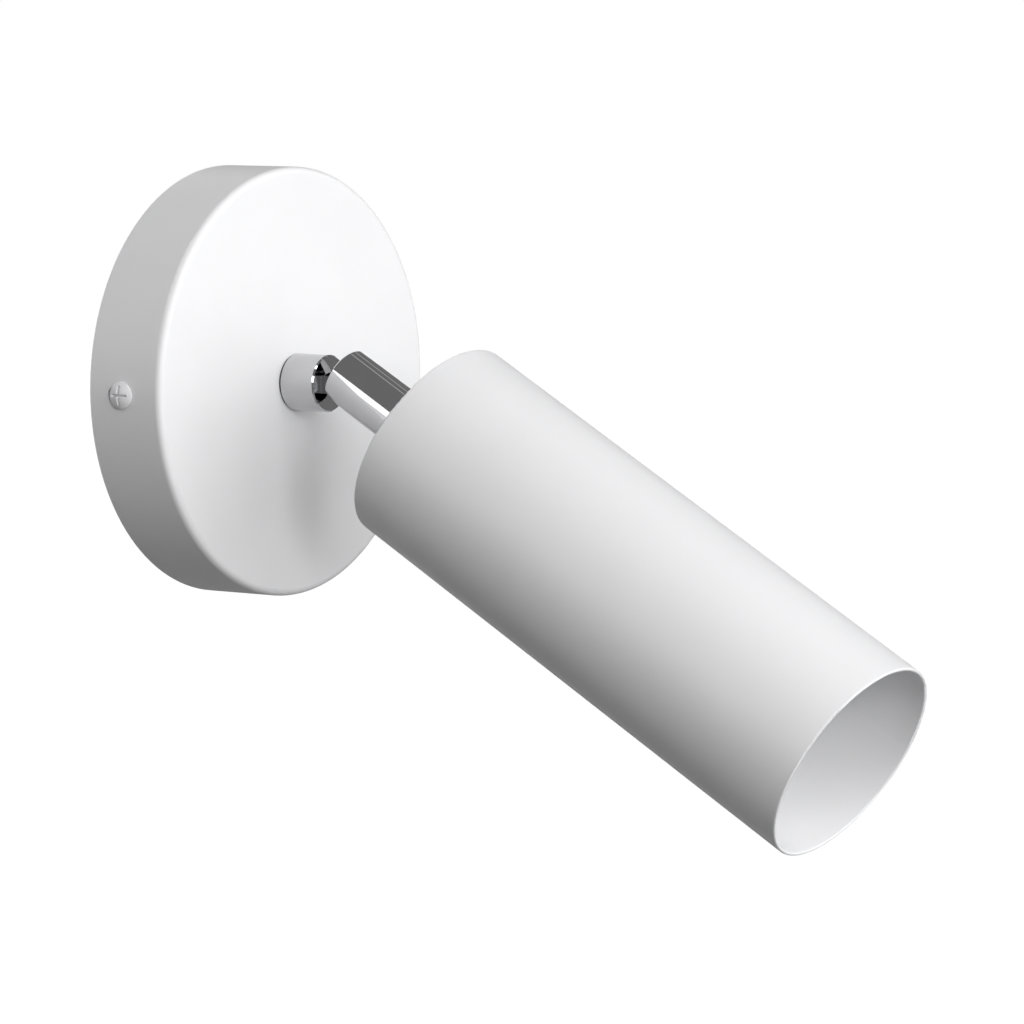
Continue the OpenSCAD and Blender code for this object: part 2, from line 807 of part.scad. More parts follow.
// Ceramic face of the lampholder, with an entry hole and a locking slot for each pin
module lampholder_face() {
    pin_way = lamp_pin_d + 2 * hole_gap;
    entry_d = lamp_foot_d + 4 * hole_gap;
    thick = holder_face_t - seat_gap;
    color("ivory") on_head(holder_start + holder_body_l + seat_gap) difference() {
        turned_rod(holder_d / 2, thick, holder_edge);
        for (turn = [0, 180]) rotate([0, 0, turn]) {
            translate([0, 0, -overrun]) arc_way(lamp_pin_x, pin_way, lamp_turn, thick + 2 * overrun);
            rotate([0, 0, lamp_turn]) translate([lamp_pin_x, 0, -overrun])
                cylinder(d = entry_d, h = thick + 2 * overrun);
            translate([0, holder_screw_y, -overrun])
                cylinder(d = holder_screw_d + 2 * hole_gap, h = thick + 2 * overrun);
            translate([0, holder_screw_y, thick - holder_head_sink])
                cylinder(d = holder_head_d + 2 * hole_gap, h = holder_head_sink + overrun);
        }
    }
}

// Contact plates behind the feet of the lamp's pins
module lampholder_contacts() {
    color("gold") on_head(holder_start + holder_room_start) for (turn = [0, 180]) {
        rotate([0, 0, turn]) arc_way(lamp_pin_x, contact_w, lamp_turn, contact_t);
    }
}

// Two leads from the sleeve through the hollow tube to the lampholder
module head_leads() {
    start = eye_d / 2 + 2 * eye_gap;
    length = holder_start + lead_into_holder - start;
    color("whitesmoke") on_head(start) for (side = [-1, 1]) {
        translate([side * head_lead_x, 0, 0]) cylinder(d = lead_d, h = length);
    }
}

// Lamp cap: the insulating foot of the lamp
module lamp_cap() {
    color("whitesmoke") on_head(cap_start) difference() {
        turned_rod(cap_d / 2, cap_l, cap_edge);
        for (side = [-1, 1]) translate([side * lamp_pin_x, 0, -overrun]) {
            cylinder(d = lamp_pin_d + 2 * seat_gap, h = cap_l / 2 + overrun);
        }
    }
}

// The lamp's two pins, each with a wide foot
module lamp_pins() {
    foot_start = cap_start - lamp_pin_l;
    color("silver") on_head(foot_start) for (side = [-1, 1]) translate([side * lamp_pin_x, 0, 0]) {
        cylinder(d = lamp_foot_d, h = lamp_foot_t);
        cylinder(d = lamp_pin_d, h = lamp_pin_l + cap_l / 2 - seat_gap);
    }
}

// Lamp housing: a cup that widens from the cap to the lens
module lamp_housing() {
    length = lamp_length - cap_l - lens_crown;
    neck_r = housing_neck_d / 2;
    rim_r = lamp_d / 2;
    cone = length - housing_rim_l;
    color("whitesmoke") on_head(cap_start + cap_l) rotate_extrude() polygon([
        [0, 0], [neck_r, 0], [rim_r, cone], [rim_r, length],
        [rim_r - housing_wall, length], [rim_r - housing_wall, cone],
        [neck_r - housing_wall, housing_floor_t], [0, housing_floor_t]
    ]);
}

// Round board with the light chips, on a step inside the housing
module lamp_board() {
    length = lamp_length - cap_l - lens_crown;
    inner_slope = (lamp_d - housing_neck_d) / 2 / (length - housing_rim_l - housing_floor_t);
    slope_l = length - board_drop - housing_floor_t;
    board_r = housing_neck_d / 2 - housing_wall + inner_slope * slope_l - lens_gap;
    color("gainsboro") on_head(cap_start + cap_l + length - board_drop) {
        cylinder(r = board_r, h = board_t);
        for (i = [0:chips - 1]) rotate([0, 0, 360 * i / chips]) {
            translate([chip_ring_r - chip_w / 2, -chip_w / 2, board_t]) cube([chip_w, chip_w, chip_t]);
        }
    }
}

// Lens: a crowned disc in the mouth of the housing
module lamp_lens() {
    lens_r = lamp_d / 2 - housing_wall - lens_gap;
    ball_r = (pow(lens_r, 2) + pow(lens_crown, 2)) / (2 * lens_crown);
    half_arc = asin(lens_r / ball_r);
    crown = arc([0, lens_t - ball_r], ball_r, 90 - half_arc, 90, 2 * arc_steps);
    color("lightcyan") on_head(lens_front - lens_t) rotate_extrude()
        polygon(concat([[0, 0], [lens_r, 0]], crown));
}

wall_bracket();
cover();
cover_screws();
terminal_block();
terminal_sleeves();
terminal_screws();
block_screws();
earth_screw();
earth_washer();
lead_live();
lead_neutral();
lead_earth();
base_washer();
joint_stem();
swivel_nipple();
stop_washer();
spring_washer();
swivel_nuts();
joint_tongue();
joint_sleeve();
hinge_pin();
hinge_washers();
head_nipple();
shade_end_disc();
shade_tube();
lock_washer();
head_nuts();
holder_bracket();
holder_screws();
lampholder_body();
lampholder_face();
lampholder_contacts();
head_leads();
lamp_cap();
lamp_pins();
lamp_housing();
lamp_board();
lamp_lens();
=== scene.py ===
import json
import math

import bmesh
import bpy
from mathutils import Matrix, Vector


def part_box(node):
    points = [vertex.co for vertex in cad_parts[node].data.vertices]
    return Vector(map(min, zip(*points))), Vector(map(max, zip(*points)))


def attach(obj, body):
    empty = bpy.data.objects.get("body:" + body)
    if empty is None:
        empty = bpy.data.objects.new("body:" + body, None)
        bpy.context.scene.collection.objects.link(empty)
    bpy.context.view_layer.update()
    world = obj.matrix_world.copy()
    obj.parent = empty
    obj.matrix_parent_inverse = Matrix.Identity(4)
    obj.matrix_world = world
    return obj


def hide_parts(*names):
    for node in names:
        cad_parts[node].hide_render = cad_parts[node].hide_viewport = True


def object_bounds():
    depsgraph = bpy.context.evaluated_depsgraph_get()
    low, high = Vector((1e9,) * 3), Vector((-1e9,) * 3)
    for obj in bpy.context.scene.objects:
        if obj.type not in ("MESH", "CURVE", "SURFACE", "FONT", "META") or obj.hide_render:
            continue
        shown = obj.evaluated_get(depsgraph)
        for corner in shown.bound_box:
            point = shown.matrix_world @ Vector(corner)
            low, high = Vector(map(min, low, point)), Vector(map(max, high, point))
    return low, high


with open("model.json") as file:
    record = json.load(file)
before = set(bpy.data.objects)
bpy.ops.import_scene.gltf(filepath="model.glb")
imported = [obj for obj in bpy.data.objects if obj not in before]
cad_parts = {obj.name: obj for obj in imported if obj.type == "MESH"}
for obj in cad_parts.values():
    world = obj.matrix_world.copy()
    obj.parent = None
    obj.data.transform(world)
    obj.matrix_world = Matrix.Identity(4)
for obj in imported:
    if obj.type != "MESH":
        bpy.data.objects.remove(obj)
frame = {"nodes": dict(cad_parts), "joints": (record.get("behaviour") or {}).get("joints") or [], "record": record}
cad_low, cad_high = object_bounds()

# Lengths are in metres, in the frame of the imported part
MM = 0.001
NODES = frame["nodes"]
JOINTS = {joint["name"]: joint for joint in frame["joints"]}
HINGE = Vector(JOINTS["head_tilt"]["pos_m"])
HEAD_AXIS = Vector(JOINTS["lamp_twist"]["axis"]).normalized()
OUT = Vector(JOINTS["head_swivel"]["axis"]).normalized()
RIGHT = Vector((1, 0, 0))

# The camera, fitted to the photograph's outlines of the cover and the tube
CAMERA_PLACE = Vector((-1.156706, -0.918473, 0.11906))
CAMERA_AZIMUTH = -54.658
CAMERA_ELEVATION = 6.1
CAMERA_ROLL = -0.43
CAMERA_FOCAL_PIXELS = 5243.694
IMAGE_PIXELS = 1024
SENSOR_MM = 36
CAMERA_CLIP = 60


def make_camera():
    azimuth, elevation = math.radians(CAMERA_AZIMUTH), math.radians(CAMERA_ELEVATION)
    roll = math.radians(CAMERA_ROLL)
    level = Vector((math.cos(azimuth), math.sin(azimuth), 0))
    back = Vector((math.sin(azimuth), -math.cos(azimuth), 0)) * math.cos(elevation)
    back.z = math.sin(elevation)
    upright = back.cross(level)
    right = level * math.cos(roll) + upright * math.sin(roll)
    up = upright * math.cos(roll) - level * math.sin(roll)
    data = bpy.data.cameras.new("camera")
    data.sensor_width = SENSOR_MM
    data.lens = CAMERA_FOCAL_PIXELS / IMAGE_PIXELS * SENSOR_MM
    data.clip_end = CAMERA_CLIP
    camera = bpy.data.objects.new("camera", data)
    turn = Matrix((right, up, back)).transposed().to_4x4()
    camera.matrix_world = Matrix.Translation(CAMERA_PLACE) @ turn
    bpy.context.scene.collection.objects.link(camera)
    bpy.context.scene.camera = camera


# The wave texture has about this many bands in each unit of its scale
WAVE_BANDS = 3


class Look:
    """A material whose colour, roughness and bump come from nodes in the piece's own coordinates."""

    def __init__(self, name):
        self.material = bpy.data.materials.new(name)
        self.material.use_nodes = True
        self.tree = self.material.node_tree
        self.shader = self.tree.nodes["Principled BSDF"]
        self.place = self.node("ShaderNodeTexCoord").outputs["Object"]

    def node(self, kind, **settings):
        made = self.tree.nodes.new(kind)
        for name, value in settings.items():
            setattr(made, name, value)
        return made

    def join(self, source, target):
        self.tree.links.new(source, target)

    def fixed(self, **values):
        """Values that are the same all over, set on the shader's own sockets."""
        for name, value in values.items():
            self.shader.inputs[name.replace("_", " ")].default_value = value

    def mapped(self, turn=(0, 0, 0), scale=(1, 1, 1)):
        """The piece's coordinates, turned and stretched."""
        mapping = self.node("ShaderNodeMapping")
        mapping.inputs["Rotation"].default_value = turn
        mapping.inputs["Scale"].default_value = scale
        self.join(self.place, mapping.inputs["Vector"])
        return mapping.outputs["Vector"]

    def noise(self, size, detail=2, place=None):
        """Noise with features of about this size, from 0 to 1."""
        made = self.node("ShaderNodeTexNoise")
        made.inputs["Scale"].default_value = 1 / size
        made.inputs["Detail"].default_value = detail
        self.join(place or self.place, made.inputs["Vector"])
        return made.outputs["Fac"]

    def waves(self, size, place):
        """Bands of about this width along the first axis of the place."""
        made = self.node("ShaderNodeTexWave", bands_direction="X")
        made.inputs["Scale"].default_value = 1 / size / WAVE_BANDS
        self.join(place, made.inputs["Vector"])
        return made.outputs["Fac"]

    def spread(self, value, low, high, start=0.35, end=0.65):
        """A value from start to end, spread from low to high."""
        made = self.node("ShaderNodeMapRange")
        self.join(value, made.inputs["Value"])
        for name, number in (("From Min", start), ("From Max", end), ("To Min", low), ("To Max", high)):
            made.inputs[name].default_value = number
        return made.outputs["Result"]

    def blend(self, value, first, second):
        """The first colour at 0 and the second at 1; the first may come from another node."""
        made = self.node("ShaderNodeMix", data_type="RGBA")
        self.join(value, made.inputs["Factor"])
        for name, colour in (("A", first), ("B", second)):
            socket = [s for s in made.inputs if s.name == name and s.type == "RGBA"][0]
            if isinstance(colour, bpy.types.NodeSocket):
                self.join(colour, socket)
            else:
                socket.default_value = (*colour, 1)
        return [s for s in made.outputs if s.type == "RGBA"][0]

    def colour(self, output):
        self.join(output, self.shader.inputs["Base Color"])

    def roughness(self, output):
        self.join(output, self.shader.inputs["Roughness"])

    def bump(self, height, distance, strength, normal=None):
        """Bumps on the normal, or on the one that is given."""
        made = self.node("ShaderNodeBump")
        made.inputs["Distance"].default_value = distance
        made.inputs["Strength"].default_value = strength
        self.join(height, made.inputs["Height"])
        if normal:
            self.join(normal, made.inputs["Normal"])
        self.join(made.outputs["Normal"], self.shader.inputs["Normal"])
        return made.outputs["Normal"]

    def soft_edges(self, radius):
        """A normal that rounds the piece's edges in the shading."""
        made = self.node("ShaderNodeBevel", samples=6)
        made.inputs["Radius"].default_value = radius
        return made.outputs["Normal"]


def tint(colour, factor):
    """The colour made darker by a factor."""
    return tuple(min(1, part * factor) for part in colour)


def white_paint():
    """Powder coat: satin white with a faint peel and a finer grain on it."""
    look = Look("white_paint")
    white = (0.85, 0.85, 0.86)
    look.fixed(Specular_IOR_Level=0.25)
    clouds = look.spread(look.noise(size=25 * MM, detail=3), low=0, high=1)
    look.colour(look.blend(clouds, tint(white, 0.985), white))
    look.roughness(look.spread(look.noise(size=4 * MM, detail=3), low=0.40, high=0.48))
    peel = look.bump(look.noise(size=1.6 * MM), distance=0.02 * MM, strength=0.35)
    look.bump(look.noise(size=0.35 * MM, detail=3), distance=0.006 * MM, strength=0.4, normal=peel)
    return look.material


# Sizes of the cloudy tones, of the patches of sheen and of the flecks
METAL_CLOUDS = 6 * MM
PLAIN_CLOUDS = 5 * MM
PLAIN_SHEEN = 1.5 * MM
FLECK_SIZE = 0.4 * MM
# Radii of the edges' shading
METAL_EDGE = 0.12 * MM
PLAIN_EDGE = 0.15 * MM
GRAIN_STRENGTH = 0.5


def metal(name, colour, rough, grain, depth, stains=0.9, scale=(1, 1, 1)):
    """Bare or plated metal with a cloudy tone, a brushed or turned grain and softened edges."""
    look = Look(name)
    look.fixed(Metallic=1)
    clouds = look.spread(look.noise(METAL_CLOUDS, detail=4), low=0, high=1)
    look.colour(look.blend(clouds, tint(colour, stains), colour))
    lines = look.noise(grain, detail=3, place=look.mapped(scale=scale))
    look.roughness(look.spread(lines, *rough))
    look.bump(lines, depth, GRAIN_STRENGTH, look.soft_edges(METAL_EDGE))
    return look.material


def plain(name, colour, rough, grain, depth, stains=0.93, fleck=None):
    """Moulded, pressed or fired material with a faint cloudy tone and a fine surface."""
    look = Look(name)
    clouds = look.spread(look.noise(PLAIN_CLOUDS, detail=3), low=0, high=1)
    tone = look.blend(clouds, tint(colour, stains), colour)
    if fleck:
        dots = look.spread(look.noise(FLECK_SIZE), low=0, high=0.6, start=0.62, end=0.72)
        tone = look.blend(dots, tone, fleck)
    look.colour(tone)
    look.roughness(look.spread(look.noise(PLAIN_SHEEN, detail=3), *rough))
    look.bump(look.noise(grain, detail=3), depth, GRAIN_STRENGTH, look.soft_edges(PLAIN_EDGE))
    return look.material


def woven(name, colour):
    """Braided sleeving: two sets of crossing strands."""
    look = Look(name)
    strand = 0.35 * MM
    first = look.waves(strand, look.mapped((0, 0, math.radians(45))))
    second = look.waves(strand, look.mapped((0, 0, math.radians(-45))))
    both = look.node("ShaderNodeMath", operation="MULTIPLY")
    look.join(first, both.inputs[0])
    look.join(second, both.inputs[1])
    weave = both.outputs[0]
    look.colour(look.blend(weave, tint(colour, 0.75), colour))
    look.roughness(look.spread(weave, low=0.75, high=0.9, start=0, end=1))
    look.fixed(Sheen_Weight=0.2)
    look.bump(weave, distance=0.05 * MM, strength=0.6)
    return look.material


def glass():
    """Clear acrylic."""
    look = Look("lens_glass")
    look.fixed(Transmission_Weight=1, IOR=1.49)
    clouds = look.spread(look.noise(size=8 * MM), low=0, high=1)
    look.colour(look.blend(clouds, (0.95, 0.97, 0.97), (0.98, 0.99, 0.99)))
    look.roughness(look.spread(look.noise(size=3 * MM, detail=3), low=0.02, high=0.06))
    look.bump(look.noise(size=1.2 * MM), distance=0.004 * MM, strength=0.3)
    return look.material


def sleeving(name, colour):
    """Smooth plastic round a lead."""
    return plain(name, colour, rough=(0.32, 0.45), grain=0.6 * MM, depth=0.008 * MM)


# Name, colour, roughness, size and depth of the grain; stains is the tone's darkest share
LOOKS = {
    "white_paint": white_paint(),
    "chrome": metal("chrome", (0.58, 0.58, 0.59), (0.035, 0.075), 1.2 * MM, 0.0006 * MM, stains=0.97),
    "zinc_plate": metal("zinc_plate", (0.62, 0.63, 0.66), (0.26, 0.42), 0.8 * MM, 0.004 * MM,
                        stains=0.88, scale=(1, 1, 8)),
    "spring_steel": metal("spring_steel", (0.42, 0.42, 0.44), (0.34, 0.5), 0.6 * MM, 0.004 * MM,
                          stains=0.8),
    "brass": metal("brass", (0.74, 0.58, 0.30), (0.22, 0.36), 0.4 * MM, 0.003 * MM, stains=0.85),
    "block_plastic": plain("block_plastic", (0.82, 0.81, 0.76), (0.42, 0.55), 0.3 * MM, 0.01 * MM),
    "black_fibre": plain("black_fibre", (0.05, 0.05, 0.05), (0.7, 0.85), 0.25 * MM, 0.03 * MM,
                         stains=0.6),
    "brown_sleeving": sleeving("brown_sleeving", (0.24, 0.11, 0.05)),
    "blue_sleeving": sleeving("blue_sleeving", (0.05, 0.20, 0.50)),
    "green_sleeving": sleeving("green_sleeving", (0.22, 0.50, 0.10)),
    "white_sleeving": woven("white_sleeving", (0.78, 0.77, 0.73)),
    "holder_ceramic": plain("holder_ceramic", (0.84, 0.82, 0.76), (0.5, 0.7), 0.35 * MM, 0.015 * MM,
                            stains=0.92, fleck=(0.55, 0.5, 0.42)),
    "lamp_plastic": plain("lamp_plastic", (0.85, 0.85, 0.84), (0.28, 0.38), 0.6 * MM, 0.006 * MM,
                          stains=0.96),
    "lamp_metal": metal("lamp_metal", (0.75, 0.76, 0.77), (0.18, 0.3), 0.3 * MM, 0.002 * MM),
    "board": plain("board", (0.88, 0.88, 0.86), (0.35, 0.45), 0.5 * MM, 0.006 * MM, stains=0.97),
    "lens_glass": glass(),
}


def paint(made, material):
    """One material all over."""
    made.data.materials.clear()
    made.data.materials.append(material)


def dress_nodes():
    """Every CAD node gets its slot's material."""
    slots = {part["node"]: part["material_slot"] for part in frame["record"]["subparts"]}
    for name, node in NODES.items():
        paint(node, LOOKS[slots[name]])


def placed(origin, along, across=RIGHT):
    """The matrix of a place whose z runs along and whose x is the nearest to across."""
    along = along.normalized()
    across = (across - along * across.dot(along)).normalized()
    turn = Matrix((across, along.cross(across), along)).transposed().to_4x4()
    return Matrix.Translation(origin) @ turn


def on_head(along):
    """A place on the shade's axis, at a distance from the hinge."""
    return placed(HINGE + HEAD_AXIS * along, HEAD_AXIS)


def reach(node, origin=Vector(), axis=OUT):
    """How far along an axis a CAD node starts and ends."""
    steps = [(vertex.co - origin).dot(axis) for vertex in NODES[node].data.vertices]
    return min(steps), max(steps)


def piece(name, parts, slot, body, replaced=(), crease=35):
    """One object from (points, faces) parts, smooth but for edges sharper than the crease."""
    points, faces = [], []
    for part_points, part_faces in parts:
        start = len(points)
        points += part_points
        faces += [tuple(start + i for i in face) for face in part_faces]
    data = bpy.data.meshes.new(name)
    data.from_pydata(points, [], faces)
    data.polygons.foreach_set("use_smooth", [True] * len(faces))
    data.set_sharp_from_angle(angle=math.radians(crease))
    data.materials.append(LOOKS[slot])
    made = bpy.data.objects.new(name, data)
    bpy.context.scene.collection.objects.link(made)
    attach(made, body)
    if replaced:
        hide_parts(*replaced)
    return made


def skin(rings, place=Matrix(), loop=False):
    """A surface through rings of points, closed by caps or, as a loop, back to its first ring."""
    count = len(rings[0])
    points = [place @ Vector(point) for row in rings for point in row]
    faces = []
    for i in range(len(rings) if loop else len(rings) - 1):
        here, there = i * count, (i + 1) % len(rings) * count
        for k in range(count):
            after = (k + 1) % count
            faces.append((here + k, here + after, there + after, there + k))
    if not loop:
        faces.append(tuple(reversed(range(count))))
        faces.append(tuple(range((len(rings) - 1) * count, len(rings) * count)))
    return points, faces


def ring(radius, z, sides=64):
    """A ring of points at a height; the radius may be a function of the angle."""
    made = []
    for k in range(sides):
        angle = 2 * math.pi * k / sides
        r = radius(angle) if callable(radius) else radius
        made.append((r * math.cos(angle), r * math.sin(angle), z))
    return made


def turned(profile, place=Matrix(), sides=64, loop=False):
    """A turned shape from (radius, z) pairs; as a loop it has a bore."""
    return skin([ring(r, z, sides) for r, z in profile], place, loop)


def smooth_step(value, start, end):
    """0 before the start, 1 past the end and a smooth rise between them."""
    share = min(1, max(0, (value - start) / (end - start)))
    return share * share * (3 - 2 * share)


# Rings in each turn of a thread
THREAD_STEPS = 8


def thread_rings(radius, pitch, depth, start, end, sides=64, limit=None):
    """Rings of a helical thread that fades out at both ends; limit caps the radius at an angle."""
    count = max(2, round((end - start) / pitch * THREAD_STEPS))
    rings = []
    for i in range(count + 1):
        z = start + (end - start) * i / count
        lead_in = min(1, (z - start) / pitch, (end - z) / pitch)

        def at(angle, z=z, lead_in=lead_in):
            turn = (z / pitch - angle / 2 / math.pi) % 1
            groove = depth * abs(2 * turn - 1)
            r = radius - max(groove, depth * (1 - lead_in))
            return min(r, limit(angle)) if limit else r

        rings.append(ring(at, z, sides))
    return rings


def tube(path, radius, sides=20):
    """A round tube through points, with rings that don't twist."""
    rings = []
    side = None
    for i, point in enumerate(path):
        ahead = path[min(i + 1, len(path) - 1)] - path[max(i - 1, 0)]
        place = placed(point, ahead, side or RIGHT)
        side = place.to_3x3() @ Vector((1, 0, 0))
        rings.append([place @ Vector(p) for p in ring(radius, 0, sides)])
    return skin(rings)


def curve(guides, steps):
    """Points on the smooth curve with four guide points."""
    points = []
    for i in range(steps + 1):
        t = i / steps
        weights = ((1 - t) ** 3, 3 * (1 - t) ** 2 * t, 3 * (1 - t) * t ** 2, t ** 3)
        points.append(sum((guide * w for guide, w in zip(guides, weights)), Vector()))
    return points


# Steps round each corner of a rectangle
CORNER_STEPS = 4


def rounded_ring(half_x, half_y, corner, z, inset=0):
    """A ring along a rectangle with round corners, drawn in by an inset."""
    points = []
    radius = corner - inset
    for quarter, (sign_x, sign_y) in enumerate(((1, 1), (-1, 1), (-1, -1), (1, -1))):
        for step in range(CORNER_STEPS + 1):
            angle = math.radians(90 * quarter + 90 / CORNER_STEPS * step)
            points.append((sign_x * (half_x - corner) + radius * math.cos(angle),
                           sign_y * (half_y - corner) + radius * math.sin(angle), z))
    return points


def slab(half_x, half_y, low, high, corner, edge, place=Matrix()):
    """A block with round corners and chamfered edges."""
    levels = ((low, edge), (low + edge, 0), (high - edge, 0), (high, edge))
    return skin([rounded_ring(half_x, half_y, corner, z, inset) for z, inset in levels], place)


# Points nearer than this become one after a cut
WELD = 0.003 * MM


def bare(part):
    """A plain object from one (points, faces) part, for a cut."""
    data = bpy.data.meshes.new("part")
    data.from_pydata(part[0], [], part[1])
    made = bpy.data.objects.new("part", data)
    bpy.context.scene.collection.objects.link(made)
    return made


def carved(added, removed):
    """One (points, faces) part: the first solid with the others added and the last ones cut away."""
    made = bare(added[0])
    for operation, parts in (("UNION", added[1:]), ("DIFFERENCE", removed)):
        for part in parts:
            other = bare(part)
            step = made.modifiers.new("step", "BOOLEAN")
            step.operation = operation
            step.solver = "EXACT"
            step.object = other
            result = made.evaluated_get(bpy.context.evaluated_depsgraph_get())
            mesh = bpy.data.meshes.new_from_object(result)
            made.modifiers.clear()
            made.data = mesh
            bpy.data.objects.remove(other)
    tidy = bmesh.new()
    tidy.from_mesh(made.data)
    bmesh.ops.remove_doubles(tidy, verts=tidy.verts, dist=WELD)
    bmesh.ops.dissolve_degenerate(tidy, edges=tidy.edges, dist=WELD)
    bmesh.ops.triangulate(tidy, faces=tidy.faces)
    tidy.verts.index_update()
    points = [vertex.co.copy() for vertex in tidy.verts]
    faces = [tuple(vertex.index for vertex in face.verts) for face in tidy.faces]
    tidy.free()
    bpy.data.objects.remove(made)
    return points, faces


# Side screws: a low dome with a pressed cross, and a thread that shows inside the cover
SCREW_HEAD_R = 3.7 * MM
SCREW_HEAD_T = 1.7 * MM
SCREW_HEAD_RIM = 0.5 * MM
CROSS_W = 0.6 * MM
CROSS_L = 5.3 * MM
CROSS_DEPTH = 1.3 * MM
CROSS_SLOPE = 0.3 * MM
# Share of the depth that is lost from the middle of the cross to its ends
CROSS_RUN = 0.3
SCREW_HEAD_EDGE = 0.12 * MM
SCREW_HEAD_INSET = 0.15 * MM
SHANK_R = 1.95 * MM
SHANK_L = 8 * MM
SHANK_TIP_R = 0.6 * MM
SHANK_RELIEF = 0.2 * MM
SHANK_PITCH = 1.4 * MM
SHANK_THREAD = 0.45 * MM
SCREW_SIDES = 192
SCREW_STEPS = 64
SCREW_CREASE = 50


def cross_depth(x, y):
    """Depth of the cross recess, deepest in the middle, with sloping walls."""
    deepest = 0
    for along, across in ((abs(x), abs(y)), (abs(y), abs(x))):
        wall = 1 - smooth_step(across, CROSS_W / 2 - CROSS_SLOPE / 2, CROSS_W / 2 + CROSS_SLOPE / 2)
        end = 1 - smooth_step(along, CROSS_L / 2 - CROSS_SLOPE, CROSS_L / 2)
        depth = CROSS_DEPTH * (1 - CROSS_RUN * along / (CROSS_L / 2))
        deepest = max(deepest, depth * wall * end)
    return deepest


def domed(radius, top, rise, sides, steps):
    """Rings of a ball's cap that rises to its top in the middle."""
    ball = (radius ** 2 + rise ** 2) / 2 / rise
    rings = []
    for i in range(steps):
        r = radius * (1 - i / steps)
        rings.append(ring(r, top - ball + math.sqrt(ball ** 2 - r ** 2), sides))
    return rings


def side_screw(place):
    """A screw whose head stands up from the place, with its thread below."""
    rings = [ring(SHANK_TIP_R, -SHANK_L, SCREW_SIDES)]
    rings += thread_rings(SHANK_R, SHANK_PITCH, SHANK_THREAD, -SHANK_L, -SHANK_RELIEF, SCREW_SIDES)
    rings.append(ring(SHANK_R, 0, SCREW_SIDES))
    rings.append(ring(SCREW_HEAD_R - SCREW_HEAD_INSET, 0, SCREW_SIDES))
    rings.append(ring(SCREW_HEAD_R, SCREW_HEAD_EDGE, SCREW_SIDES))
    rise = SCREW_HEAD_T - SCREW_HEAD_RIM
    for flat in domed(SCREW_HEAD_R, SCREW_HEAD_T, rise, SCREW_SIDES, SCREW_STEPS):
        rings.append([(x, y, z - cross_depth(x, y)) for x, y, z in flat])
    return skin(rings, place)


def make_side_screws():
    low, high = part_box("cover_screws")
    middle = (low + high) / 2
    parts = []
    for side in (-1, 1):
        seat = Vector((side * (high.x - SCREW_HEAD_T), middle.y, middle.z))
        parts.append(side_screw(placed(seat, RIGHT * side, Vector((0, 0, 1)))))
    piece("side_screws", parts, "white_paint", "wall_base", ["cover_screws"], SCREW_CREASE)


# Hollow threaded tubes
TUBE_R = 5 * MM
TUBE_BORE_R = 3.75 * MM
TUBE_PITCH = 1 * MM
TUBE_THREAD = 0.3 * MM
KEY_R = 4.4 * MM
KEY_W = 2.1 * MM
TUBE_SIDES = 72


def keyway(angle):
    """The radius at the keyway's floor, below the tube's axis."""
    down = -math.sin(angle)
    beside = abs(math.cos(angle)) * TUBE_R
    return KEY_R / down if down > 0 and beside < KEY_W / 2 else TUBE_R


def threaded_tube(start, end, place, limit=None):
    """A threaded tube with a bore, from a start to an end along the place's axis."""
    rings = thread_rings(TUBE_R, TUBE_PITCH, TUBE_THREAD, start, end, TUBE_SIDES, limit)
    bore = [ring(TUBE_BORE_R, end, TUBE_SIDES), ring(TUBE_BORE_R, start, TUBE_SIDES)]
    return skin(rings + bore, place, loop=True)


def make_threaded_tubes():
    tube_part = threaded_tube(*reach("swivel_nipple"), placed(Vector(), OUT), keyway)
    piece("swivel_tube", [tube_part], "zinc_plate", "swivel", ["swivel_nipple"])
    tube_part = threaded_tube(*reach("head_nipple", HINGE, HEAD_AXIS), on_head(0))
    piece("head_tube", [tube_part], "zinc_plate", "spot_head", ["head_nipple"])


# Leads inside the cover, on the same curves as the CAD leads
LEAD_R = 1 * MM
LEAD_X = 1.3 * MM
LEAD_GRIP = 4 * MM
LEAD_INTO_JOINT = 5 * MM
LEAD_SAG = 13 * MM
LEAD_RISE = 14 * MM
LEAD_STEPS = 60
EARTH_END = Vector((-15, -3.35, 7)) * MM
EARTH_SIDES = 24
# Sides of the earth lead in each of its two yellow stripes
STRIPE_SIDES = 4


def lead_ends():
    """Where each lead ends in the block, at the lower mouths of the brass sleeves."""
    low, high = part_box("terminal_sleeves")
    radius = (high.y - low.y) / 2
    ends = []
    for x in (low.x + radius, (low.x + high.x) / 2, high.x - radius):
        ends.append(Vector((x, (low.y + high.y) / 2, low.z + LEAD_GRIP)))
    return ends


def make_leads():
    sag = Vector((0, 0, LEAD_SAG))
    mouth = OUT * (reach("swivel_nipple")[0] + LEAD_INTO_JOINT)
    ends = lead_ends()
    for name, slot, start, x in (
        ("lead_live", "brown_sleeving", ends[2], LEAD_X),
        ("lead_neutral", "blue_sleeving", ends[1], -LEAD_X),
    ):
        end = mouth + RIGHT * x
        path = curve([start, start - sag, end - OUT * LEAD_RISE, end], LEAD_STEPS)
        piece(name.replace("lead", "wire"), [tube(path, LEAD_R)], slot, "wall_base", [name])
    path = curve([ends[0], ends[0] - sag, EARTH_END + sag / 2, EARTH_END], LEAD_STEPS)
    round_tube = tube(path, LEAD_R, EARTH_SIDES)
    wire = piece("wire_earth", [round_tube], "green_sleeving", "wall_base", ["lead_earth"])
    wire.data.materials.append(sleeving("yellow_stripe", (0.80, 0.66, 0.06)))
    for face in wire.data.polygons:
        side = face.index % EARTH_SIDES % (EARTH_SIDES // 2)
        if len(face.vertices) == 4 and side < STRIPE_SIDES:
            face.material_index = 1


